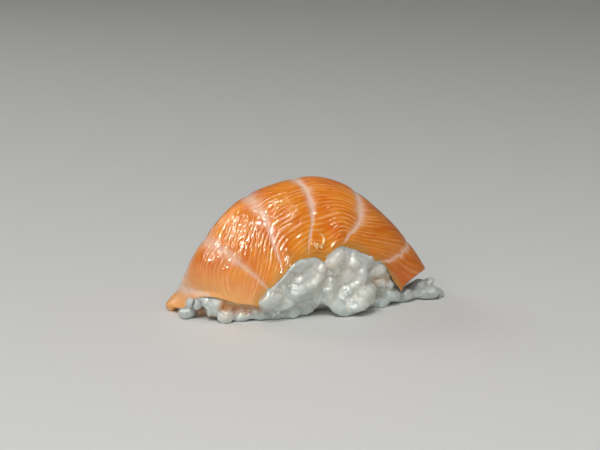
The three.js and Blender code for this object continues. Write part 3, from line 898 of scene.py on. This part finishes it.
def edge_grains(rng, grid):
    """Grains just under the long edges of the slice, so that it lies on rice all along."""
    face, normals, thickness = grid
    rows, columns = thickness.shape
    grains = []
    for aside, first in zip((EDGE_GRAIN_SHARE, 1 - EDGE_GRAIN_SHARE), EDGE_GRAIN_FIRST):
        j = int(aside * columns)
        for share in np.linspace(first, EDGE_GRAIN_LAST, EDGE_GRAIN_COUNT):
            i = int(share * (rows - 1))
            way = normals[i, j]
            ahead = unit(face[min(i + 2, rows - 1), j] - face[i - 2, j])
            side = np.cross(way, ahead)
            turn = rng.uniform(-EDGE_GRAIN_TURN, EDGE_GRAIN_TURN)
            long_way = math.cos(turn) * ahead + math.sin(turn) * side
            depth = thickness[i, j] + EDGE_GRAIN_DEPTH * GRAIN_WIDTH + rng.uniform(*EDGE_GRAIN_SPREAD)
            middle = face[i, j] - way * depth
            if middle[2] > EDGE_GRAIN_LOWEST * GRAIN_WIDTH:
                axes = (long_way, np.cross(way, long_way), way)
                grains.append(grain_mesh(rng, middle, axes, GRAIN_LENGTH, GRAIN_WIDTH))
    return grains


def scattered_grains(rng, covered):
    """Grains all round the block, lying in its side in every direction, none under the slice."""
    middles = []
    grains = []
    ahead = view_axes()[2]
    for angle, share, turn, size in rng.uniform(0, 1, (GRAIN_TRIES, 4)):
        angle = 2 * math.pi * angle
        height = SCATTER_LOWEST + share * (BLOCK_HEIGHT * SCATTER_HIGHEST - SCATTER_LOWEST)
        inset = GRAIN_INSET + GRAIN_INSET_SPREAD * (size - 0.5)
        spot, here = (block_point(np.array([angle]), height, depth)[0] for depth in (inset, 0.0))
        around = unit(block_point(np.array([angle + 0.02]), height)[0] - here)
        rise = unit(block_point(np.array([angle]), height + 0.2)[0] - here)
        outward = unit(np.cross(around, rise))
        if covered(spot, outward):
            continue
        if float(outward @ ahead) < SHOWN_FACING and spot[0] > SHOWN_FROM:
            continue
        if middles and np.min(np.linalg.norm(np.array(middles) - spot, axis=1)) < GRAIN_GAP:
            continue
        middles.append(spot)
        tilt = math.radians(SCATTER_TILT * (turn - 0.5))
        long_way = math.cos(tilt) * around + math.sin(tilt) * rise
        wide_way = np.cross(outward, long_way)
        length = GRAIN_LENGTH * (SCATTER_LENGTHS[0] + SCATTER_LENGTHS[1] * size)
        spot = spot + np.array((0, 0, max(0.0, REST_SHARE * GRAIN_WIDTH - spot[2])))
        grains.append(grain_mesh(rng, spot, (long_way, wide_way, outward), length, GRAIN_WIDTH))
    return grains


def bed_grains(rng):
    """Grains in every direction over the rice under the right end of the slice."""
    grains = []
    for turn, rise, tilt in rng.uniform(0, 1, (BED_GRAINS, 3)):
        around = 2 * math.pi * turn
        out = unit(np.array((math.cos(around), math.sin(around), BED_RISE[0] * rise + BED_RISE[1])))
        middle = np.array(BED_MIDDLE) + out * BED_HALF
        middle[2] = max(middle[2], REST_SHARE * GRAIN_WIDTH)
        aside = unit(np.cross(out, (0.0, 0.0, 1.0)))
        angle = math.pi * tilt
        long_way = math.cos(angle) * aside + math.sin(angle) * np.cross(out, aside)
        axes = (long_way, np.cross(out, long_way), out)
        length, width = np.array(BED_GRAIN_SIZE) * (GRAIN_LENGTH, GRAIN_WIDTH)
        grains.append(grain_mesh(rng, middle, axes, length, width))
    return grains


def ellipsoid_mesh(middle, half):
    points, faces = grain_mesh(np.random.default_rng(SEED), np.zeros(3), np.eye(3), 2.0, 2.0, swell=0.0)
    return points * (np.array(half) + FILLET) + np.array(middle), faces


def remade(points, faces, *modifiers):
    """The points and triangles of a mesh after modifiers, each given as its kind and its settings."""
    work = bpy.data.meshes.new("work")
    work.from_pydata(points.tolist(), [], faces.tolist())
    holder = bpy.data.objects.new("work", work)
    bpy.context.collection.objects.link(holder)
    for kind, settings in modifiers:
        modifier = holder.modifiers.new(kind, kind)
        for name, value in settings.items():
            setattr(modifier, name, value)
    graph = bpy.context.evaluated_depsgraph_get()
    mesh = bpy.data.meshes.new_from_object(holder.evaluated_get(graph))
    mesh.calc_loop_triangles()
    points = np.empty(len(mesh.vertices) * 3)
    mesh.vertices.foreach_get("co", points)
    faces = np.empty(len(mesh.loop_triangles) * 3, np.int64)
    mesh.loop_triangles.foreach_get("vertices", faces)
    bpy.data.objects.remove(holder)
    bpy.data.meshes.remove(work)
    bpy.data.meshes.remove(mesh)
    return points.reshape(-1, 3), faces.reshape(-1, 3)


def fused(points, faces):
    """One skin round many overlapping bodies, its creases filled to a radius and softened."""
    points, faces = remade(
        points, faces, ("REMESH", {"mode": "VOXEL", "voxel_size": VOXEL}),
        ("SMOOTH", {"factor": 0.5, "iterations": SOFTENING_ROUNDS}))
    points = points - FILLET * point_normals(points, faces)
    return neighbour_average(points, faces, 1), faces


def thinned(points, faces, limit):
    """The same skin with at most so many triangles."""
    if len(faces) <= limit:
        return points, faces
    return remade(points, faces, ("DECIMATE", {"ratio": limit / len(faces)}))


class Cover:
    """The slice as it lies over the rice, for finding what is beneath it."""

    def __init__(self, face, normals, thickness):
        rows, columns = thickness.shape
        number = np.arange(rows * columns).reshape(rows, columns)
        self.tree = BVHTree.FromPolygons(face.reshape(-1, 3).tolist(), grid_quads(number).tolist())
        self.rows = rows - 1
        self.columns = columns - 1
        self.normals = normals
        self.thickness = thickness

    def nearest(self, point):
        """The nearest point of the slice's face, the way out, the thickness, and whether it is at a
        border or where rice laps over."""
        spot, _, index, _ = self.tree.find_nearest(Vector(point))
        i, j = divmod(index, self.columns)
        lapped = (j < LAPPED and i < BANK_END * self.rows) or j >= self.columns - LAPPED
        border = j == 0 or j == self.columns - 1 or i == 0 or i == self.rows - 1
        return np.array(spot), self.normals[i, j], self.thickness[i, j], border, lapped

    def covers(self, point, outward, reach=OVERHANG):
        hit, _, _, _ = self.tree.ray_cast(Vector(point), Vector(outward), reach)
        return hit is not None

    def seen_at(self, x, y):
        """The point of the slice that shows at (x, y) in the picture, and the number of its face."""
        spot, index = seen_on(self.tree, x, y)
        return np.array(spot), index

    def press_under(self, points):
        """Moves points that would be in or on the slice to just below it."""
        moved = points.copy()
        left = np.zeros(len(points), bool)
        for x, y, reach in LAPS:
            left |= np.linalg.norm(points - self.seen_at(x, y)[0], axis=1) < reach
        for k in np.flatnonzero(~left):
            point = points[k]
            spot, way_out, thickness, border, lapped = self.nearest(point)
            off = point - spot
            height = float(off @ way_out)
            if height < -thickness - UNDER_SLICE_GAP or height > PRESS_REACH:
                continue
            aside = np.linalg.norm(off - height * way_out)
            if lapped or border and aside > BORDER_REACH:
                continue
            moved[k] = spot - way_out * (thickness + UNDER_SLICE_GAP) + (off - height * way_out)
        return moved

    def bank_up(self, points, faces):
        """Raises the rice beside the long edges of the slice until it meets them."""
        lift = np.zeros_like(points)
        for k, point in enumerate(points):
            spot, way_out, _, _, lapped = self.nearest(point)
            if not lapped:
                continue
            off = point - spot
            height = float(off @ way_out)
            aside = np.linalg.norm(off - height * way_out)
            if -BANK_REACH < height < BANK_HEIGHT and aside < BANK_WIDTH:
                fade = smooth_step(BANK_WIDTH, 0.35 * BANK_WIDTH, aside)
                fade = fade * smooth_step(-BANK_REACH, -0.6 * BANK_REACH, height)
                lift[k] = way_out * (BANK_HEIGHT - height) * fade
        return points + neighbour_average(lift, faces, 3)


def neighbour_average(values, faces, rounds):
    """Rows of values at the points, after a number of rounds of giving each its neighbours' mean."""
    edges = np.concatenate((faces[:, :2], faces[:, 1:], faces[:, ::2]))
    both = np.concatenate((edges, edges[:, ::-1]))
    count = np.bincount(both[:, 0], minlength=len(values))[:, None]
    for _ in range(rounds):
        total = [np.bincount(both[:, 0], column[both[:, 1]], len(values)) for column in values.T]
        values = np.stack(total, -1) / np.maximum(count, 1)
    return values


def point_normals(points, faces):
    a, b, c = (points[faces[:, k]] for k in range(3))
    face_normals = np.cross(b - a, c - a)
    total = np.zeros_like(points)
    for k in range(3):
        for axis in range(3):
            total[:, axis] += np.bincount(faces[:, k], face_normals[:, axis], len(points))
    return total / np.maximum(np.linalg.norm(total, axis=1, keepdims=True), 1e-12)


def space_noise(rng, points, scale):
    """Smooth random waves in space, about scale mm long, from about -1 to 1."""
    place = (points - points.min(0)) / scale
    cell = np.floor(place).astype(int)
    share = place - cell
    share = share * share * (3 - 2 * share)
    table = rng.uniform(-1, 1, cell.max(0) + 2)
    total = np.zeros(len(points))
    for i in (0, 1):
        for j in (0, 1):
            for k in (0, 1):
                weight = np.abs(1 - share - (i, j, k)).prod(1)
                total += weight * table[cell[:, 0] + i, cell[:, 1] + j, cell[:, 2] + k]
    return total


def tints(rng, bodies, points):
    """A number from -1 to 1 for each point: partly its grain's own, partly its height over the table."""
    corners, _ = joined(bodies)
    owner = np.repeat(np.arange(len(bodies)), [len(body[0]) for body in bodies])
    tree = KDTree(len(corners))
    for k, corner in enumerate(corners):
        tree.insert(corner, k)
    tree.balance()
    tint = rng.uniform(-1, 1, len(bodies))
    of_grain = np.array([tint[owner[tree.find(point)[1]]] for point in points])
    high = 2 * smooth_step(*COOL_SHADE_HEIGHTS, points[:, 2] + 2 * space_noise(rng, points, 6.0)) - 1
    return TINT_SHARES[0] * of_grain + TINT_SHARES[1] * high


def shelter(cover, points, faces):
    """How much of what each point looks at is slice or rice close by, from 0 to 1."""
    rice = BVHTree.FromPolygons(points.tolist(), faces.tolist())
    normals = point_normals(points, faces)
    found = np.zeros(len(points))
    for k, (point, normal) in enumerate(zip(points, normals)):
        ahead = Vector(normal)
        side = ahead.orthogonal().normalized()
        other = ahead.cross(side)
        start = Vector(point) + 0.1 * ahead
        for turn in range(SHELTER_RAYS):
            angle = 2 * math.pi * turn / SHELTER_RAYS
            way = ahead + math.cos(angle) * side + math.sin(angle) * other
            if cover.covers(start, way, SHELTER_REACH) or rice.ray_cast(start, way, SHELTER_REACH)[0]:
                found[k] += 1 / SHELTER_RAYS
    return neighbour_average(found[:, None], faces, 6)[:, 0]


def marks(points, faces, places):
    """How strongly each point is marked by a list of places such as the spots of painted shade, from 0 to 1."""
    rice = BVHTree.FromPolygons(points.tolist(), faces.tolist())
    found = np.zeros(len(points))
    for x, y, reach, strength in places:
        spot, _ = seen_on(rice, x, y)
        if spot is not None:
            off = np.linalg.norm(points - np.array(spot), axis=1)
            found = np.maximum(found, strength * smooth_step(reach, 0.3 * reach, off))
    return found


def end_shading(points):
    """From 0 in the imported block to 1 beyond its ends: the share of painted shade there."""
    return smooth_step(*END_SHADE_REACH, np.abs(points[:, 0] - BLOCK_MIDDLE[0]) / BLOCK_HALF_LENGTH)


def make_rice(material, grid, cover):
    rng = np.random.default_rng(SEED + 1)
    heap = [core_mesh(), ellipsoid_mesh(TAIL_MIDDLE, TAIL_HALF), ellipsoid_mesh(BED_MIDDLE, BED_HALF)]
    heap += lumps(rng)
    shown = shown_grains(rng, joined(heap))
    pressed = [mesh for mesh, is_loose in shown if not is_loose]
    loose = [mesh for mesh, is_loose in shown if is_loose]
    scattered = scattered_grains(rng, cover.covers)
    bodies = heap + pressed + scattered + edge_grains(rng, grid)
    bodies += bed_grains(np.random.default_rng(SEED + 3))
    points, faces = fused(*joined(bodies))
    normals = point_normals(points, faces)
    relief = sum(height * space_noise(rng, points, width) for width, height in RICE_RELIEF)
    points = points + normals * relief[:, None]
    points, faces = thinned(points, faces, RICE_TRIANGLES)
    points = cover.press_under(cover.bank_up(points, faces))
    points[:, 2] = np.maximum(points[:, 2], 0)
    piece = mesh_object("rice_mass", points, faces, material)
    smoothed = neighbour_average(points, faces, CREASE_ROUNDS)
    proud = ((points - smoothed) * point_normals(points, faces)).sum(1)
    add_attribute(piece, "proud", neighbour_average(proud[:, None], faces, 3)[:, 0])
    add_attribute(piece, "tint", tints(rng, bodies, points))
    add_attribute(piece, "shelter", shelter(cover, points, faces))
    add_attribute(piece, "end_shade", end_shading(points))
    add_attribute(piece, "spot_shade", marks(points, faces, SHADE_SPOTS))
    add_attribute(piece, "painted_glint", marks(points, faces, PAINTED_GLINTS))

    points, faces = joined(loose)
    points[:, 2] = np.maximum(points[:, 2], 0)
    grains = mesh_object("rice_grains", points, faces, material)
    subdivision = grains.modifiers.new("subdivision", "SUBSURF")
    subdivision.levels = 2
    subdivision.render_levels = 2
    add_attribute(grains, "proud", np.full(len(points), 0.12))
    add_attribute(grains, "end_shade", end_shading(points))
    return piece, grains


# ================================================================ materials

class Nodes:
    """A short way of writing a material's nodes."""

    def __init__(self, name):
        self.material = bpy.data.materials.new(name)
        self.material.use_nodes = True
        self.tree = self.material.node_tree
        self.shader = self.tree.nodes["Principled BSDF"]

    def put(self, value, socket):
        if isinstance(value, bpy.types.NodeSocket):
            self.tree.links.new(value, socket)
        else:
            socket.default_value = value

    def attribute(self, name, output="Fac"):
        node = self.tree.nodes.new("ShaderNodeAttribute")
        node.attribute_name = name
        return node.outputs[output]

    def place(self):
        return self.tree.nodes.new("ShaderNodeTexCoord").outputs["Object"]

    def scaled(self, vector, scale):
        node = self.tree.nodes.new("ShaderNodeMapping")
        self.put(vector, node.inputs["Vector"])
        node.inputs["Scale"].default_value = scale
        return node.outputs["Vector"]

    def component(self, vector, axis):
        node = self.tree.nodes.new("ShaderNodeSeparateXYZ")
        self.put(vector, node.inputs["Vector"])
        return node.outputs[axis]

    def noise(self, vector, scale, detail=2.0, roughness=0.5):
        node = self.tree.nodes.new("ShaderNodeTexNoise")
        self.put(vector, node.inputs["Vector"])
        node.inputs["Scale"].default_value = scale
        node.inputs["Detail"].default_value = detail
        node.inputs["Roughness"].default_value = roughness
        return node.outputs["Fac"]

    def range(self, value, low, high, to_low=0.0, to_high=1.0):
        node = self.tree.nodes.new("ShaderNodeMapRange")
        self.put(value, node.inputs["Value"])
        for name, number in (("From Min", low), ("From Max", high), ("To Min", to_low), ("To Max", to_high)):
            node.inputs[name].default_value = number
        return node.outputs["Result"]

    def math(self, kind, a, b):
        node = self.tree.nodes.new("ShaderNodeMath")
        node.operation = kind
        self.put(a, node.inputs[0])
        self.put(b, node.inputs[1])
        return node.outputs[0]

    def mix(self, share, a, b):
        node = self.tree.nodes.new("ShaderNodeMix")
        node.data_type = "RGBA"
        self.put(share, node.inputs["Factor"])
        self.put(a, node.inputs["A"])
        self.put(b, node.inputs["B"])
        return node.outputs["Result"]

    def bump(self, height, distance, normal=None, strength=1.0):
        node = self.tree.nodes.new("ShaderNodeBump")
        node.inputs["Strength"].default_value = strength
        node.inputs["Distance"].default_value = distance
        self.put(height, node.inputs["Height"])
        if normal is not None:
            self.put(normal, node.inputs["Normal"])
        return node.outputs["Normal"]

    def finish(self, **settings):
        for name, value in settings.items():
            self.put(value, self.shader.inputs[name.replace("_", " ").title().replace("Ior", "IOR")])
        return self.material


def salmon_material():
    nodes = Nodes("salmon")
    strip = nodes.attribute("strip_place", "Vector")
    fibre = nodes.attribute("fibre")
    fat = nodes.attribute("fat")
    thin = nodes.attribute("thin")
    broad = nodes.noise(nodes.scaled(strip, (0.09, 0.12, 1.0)), 1.0, 2.0)
    flesh = nodes.mix(nodes.range(broad, 0.35, 0.65), colour("flesh_deep"), colour("flesh"))
    pale = nodes.noise(nodes.scaled(strip, (0.16, 0.9, 1.0)), 1.0, 3.0, 0.6)
    flesh = nodes.mix(nodes.range(pale, 0.45, 0.75, 0.0, 0.6), flesh, colour("flesh_light"))
    thread = nodes.noise(nodes.scaled(strip, (0.35, 3.2, 1.0)), 1.0, 3.0, 0.6)
    lines = nodes.math("MULTIPLY", nodes.range(fibre, 0.3, 0.9), nodes.range(thread, 0.35, 0.65, 0.3, 1.0))
    flesh = nodes.mix(nodes.math("MULTIPLY", lines, 0.85), flesh, colour("streak_and_painted_light"))
    along = nodes.component(strip, "X")
    # The left end of the flesh, which faces left and down, is paled towards the streak colour: painted light.
    flesh = nodes.mix(nodes.range(along, 3.0, 14.0, 0.7, 0.0), flesh, colour("streak_and_painted_light"))
    # The flesh is painted darker towards its right end: painted shade.
    flesh = nodes.mix(nodes.range(along, 58.0, 80.0, 0.0, 0.4), flesh, colour("flesh_end_shade"))
    flesh = nodes.mix(nodes.math("MULTIPLY", thin, 0.75), flesh, colour("thin"))
    whole = nodes.mix(fat, flesh, colour("fat"))
    wrinkles = nodes.noise(nodes.scaled(strip, (0.5, 1.9, 1.0)), 1.0, 1.0, 0.5)
    puckers = nodes.math("MULTIPLY", wrinkles, nodes.attribute("puckered"))
    normal = nodes.bump(puckers, FLESH_BUMP)
    wet_normal = nodes.bump(puckers, FLESH_WET_BUMP)
    wet = nodes.noise(nodes.scaled(strip, (0.3, 0.5, 1.0)), 1.0, 2.0)
    return nodes.finish(
        base_color=whole, roughness=nodes.range(wet, 0.3, 0.7, 0.26, 0.42),
        normal=normal, coat_normal=wet_normal,
        subsurface_weight=0.35, subsurface_radius=(1.0, 0.45, 0.12), subsurface_scale=0.001,
        specular_ior_level=0.06, coat_weight=1.0, coat_roughness=0.05, ior=1.4)


def curl_material():
    nodes = Nodes("fat_curl")
    patch = nodes.noise(nodes.place(), 1500.0, 2.0)
    shade = nodes.mix(nodes.range(patch, 0.35, 0.65), colour("curl"), colour("curl_pale"))
    normal = nodes.bump(nodes.noise(nodes.place(), 3000.0, 2.0), CURL_BUMP, strength=0.8)
    return nodes.finish(
        base_color=shade, roughness=0.3, normal=normal, coat_normal=normal, subsurface_weight=0.5,
        subsurface_radius=(1.0, 0.6, 0.3), subsurface_scale=0.0006, coat_weight=0.4, coat_roughness=0.08)


def rice_material():
    nodes = Nodes("rice")
    place = nodes.place()
    tint = nodes.attribute("tint")
    patch = nodes.noise(place, 200.0, 2.0)
    # Towards the table the rice turns cooler and a little darker: partly painted shade.
    body = nodes.mix(nodes.range(tint, -0.8, 0.7), colour("rice_cool_and_shade"), colour("rice"))
    warm = nodes.math("ADD", nodes.noise(place, 90.0, 2.0), nodes.math("MULTIPLY", tint, 0.08))
    body = nodes.mix(nodes.range(warm, 0.48, 0.7, 0.0, 0.8), body, colour("rice_warm"))
    # The darker rice beyond the ends is painted shade, the lighter creases are painted light, and the sheltered
    # places and the spots beside the slice are painted shade.
    for name, low, high, most, tone in (
            ("end_shade", 0.0, 1.0, 0.85, "rice_end_shade"), ("proud", -0.008, -0.03, 0.5, "rice_crease_light"),
            ("shelter", 0.45, 1.0, 0.75, "rice_shade"), ("spot_shade", 0.0, 1.0, 0.9, "rice_spot_shade")):
        body = nodes.mix(nodes.range(nodes.attribute(name), low, high, 0.0, most), body, colour(tone))
    # White specks painted in at these places: painted glints.
    glint_spots = nodes.range(nodes.noise(place, 1300.0, 1.0, 0.5), 0.54, 0.62)
    glint_spots = nodes.math("MULTIPLY", glint_spots, nodes.attribute("painted_glint"))
    body = nodes.mix(glint_spots, body, colour("rice_painted_glint"))
    wrinkles = nodes.noise(place, 1100.0, 2.0, 0.6)
    fine = nodes.noise(place, 400.0, 1.0, 0.5)
    normal, wet_normal = (
        nodes.bump(fine, high, nodes.bump(wrinkles, low)) for high, low in (RICE_BUMPS, RICE_WET_BUMPS))
    return nodes.finish(
        base_color=body, roughness=nodes.range(patch, 0.3, 0.7, 0.22, 0.4),
        normal=normal, coat_normal=wet_normal,
        subsurface_weight=1.0, subsurface_radius=(1.0, 0.95, 0.85), subsurface_scale=0.005,
        sheen_weight=0.5, sheen_roughness=0.35, sheen_tint=colour("rice_rim"),
        specular_ior_level=0.2, coat_weight=0.8, coat_roughness=0.06, ior=1.4)


def floor_material():
    nodes = Nodes("floor")
    speckle = nodes.noise(nodes.place(), 40.0, 3.0)
    shade = nodes.mix(nodes.range(speckle, 0.3, 0.7, 0.0, 0.08), colour("floor"), (0.6, 0.6, 0.6, 1.0))
    return nodes.finish(base_color=shade, roughness=0.7)


# ================================================================ floor and light

def make_floor():
    """A level floor that curves up into a backdrop all round, well away from the food."""
    turns = FLOOR_TURNS
    radii = list(FLOOR_RINGS)
    heights = [0.0] * len(FLOOR_RINGS)
    for k in range(FLOOR_CURVE_STEPS + 1):
        angle = k / FLOOR_CURVE_STEPS * math.pi / 2
        radii.append(FLOOR_FLAT + FLOOR_RISE * math.sin(angle))
        heights.append(FLOOR_RISE * (1 - math.cos(angle)))
    points = [(0.0, 0.0, 0.0)]
    faces = []
    for k in range(1, len(radii)):
        for j in range(turns):
            angle = 2 * math.pi * j / turns
            points.append((radii[k] * math.cos(angle), radii[k] * math.sin(angle), heights[k]))
    for j in range(turns):
        faces.append((0, 1 + j, 1 + (j + 1) % turns))
    for k in range(len(radii) - 2):
        for j in range(turns):
            a = 1 + k * turns + j
            b = 1 + k * turns + (j + 1) % turns
            faces.append((a, a + turns, b + turns, b))
    floor = smooth_object("floor", points, faces, floor_material())


def make_light(azimuth, elevation, distance, size, power, seen):
    data = bpy.data.lights.new("square", "AREA")
    data.shape = "SQUARE"
    data.size = size
    data.energy = power
    data.color = GLINT_COLOUR if seen == REFLECTED else LIGHT_COLOUR
    light = bpy.data.objects.new("square", data)
    light.visible_diffuse = seen != REFLECTED
    light.visible_glossy = seen != LIT
    a, e = math.radians(azimuth), math.radians(elevation)
    way = Vector((math.sin(a) * math.cos(e), -math.cos(a) * math.cos(e), math.sin(e)))
    light.location = way * distance
    light.rotation_euler = (-way).to_track_quat("-Z", "Y").to_euler()
    bpy.context.collection.objects.link(light)


def make_world():
    world = bpy.data.worlds.new("studio")
    world.use_nodes = True
    background = world.node_tree.nodes["Background"]
    background.inputs["Color"].default_value = (1.0, 1.0, 1.0, 1.0)
    background.inputs["Strength"].default_value = WORLD_STRENGTH
    bpy.context.scene.world = world


# ================================================================ the scene

make_camera()
make_floor()
for light in LIGHTS:
    make_light(*light)
make_world()
bpy.context.scene.view_settings.view_transform = "Standard"

flesh, slice_grid = make_slice(salmon_material())
cover = Cover(*slice_grid)
curl = make_curl(curl_material(), cover)
mass, grains = make_rice(rice_material(), slice_grid, cover)

for piece in (flesh, curl):
    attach(piece, "root")
    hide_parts("salmon_slice")
for piece in (mass, grains):
    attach(piece, "root")
    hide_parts("rice")
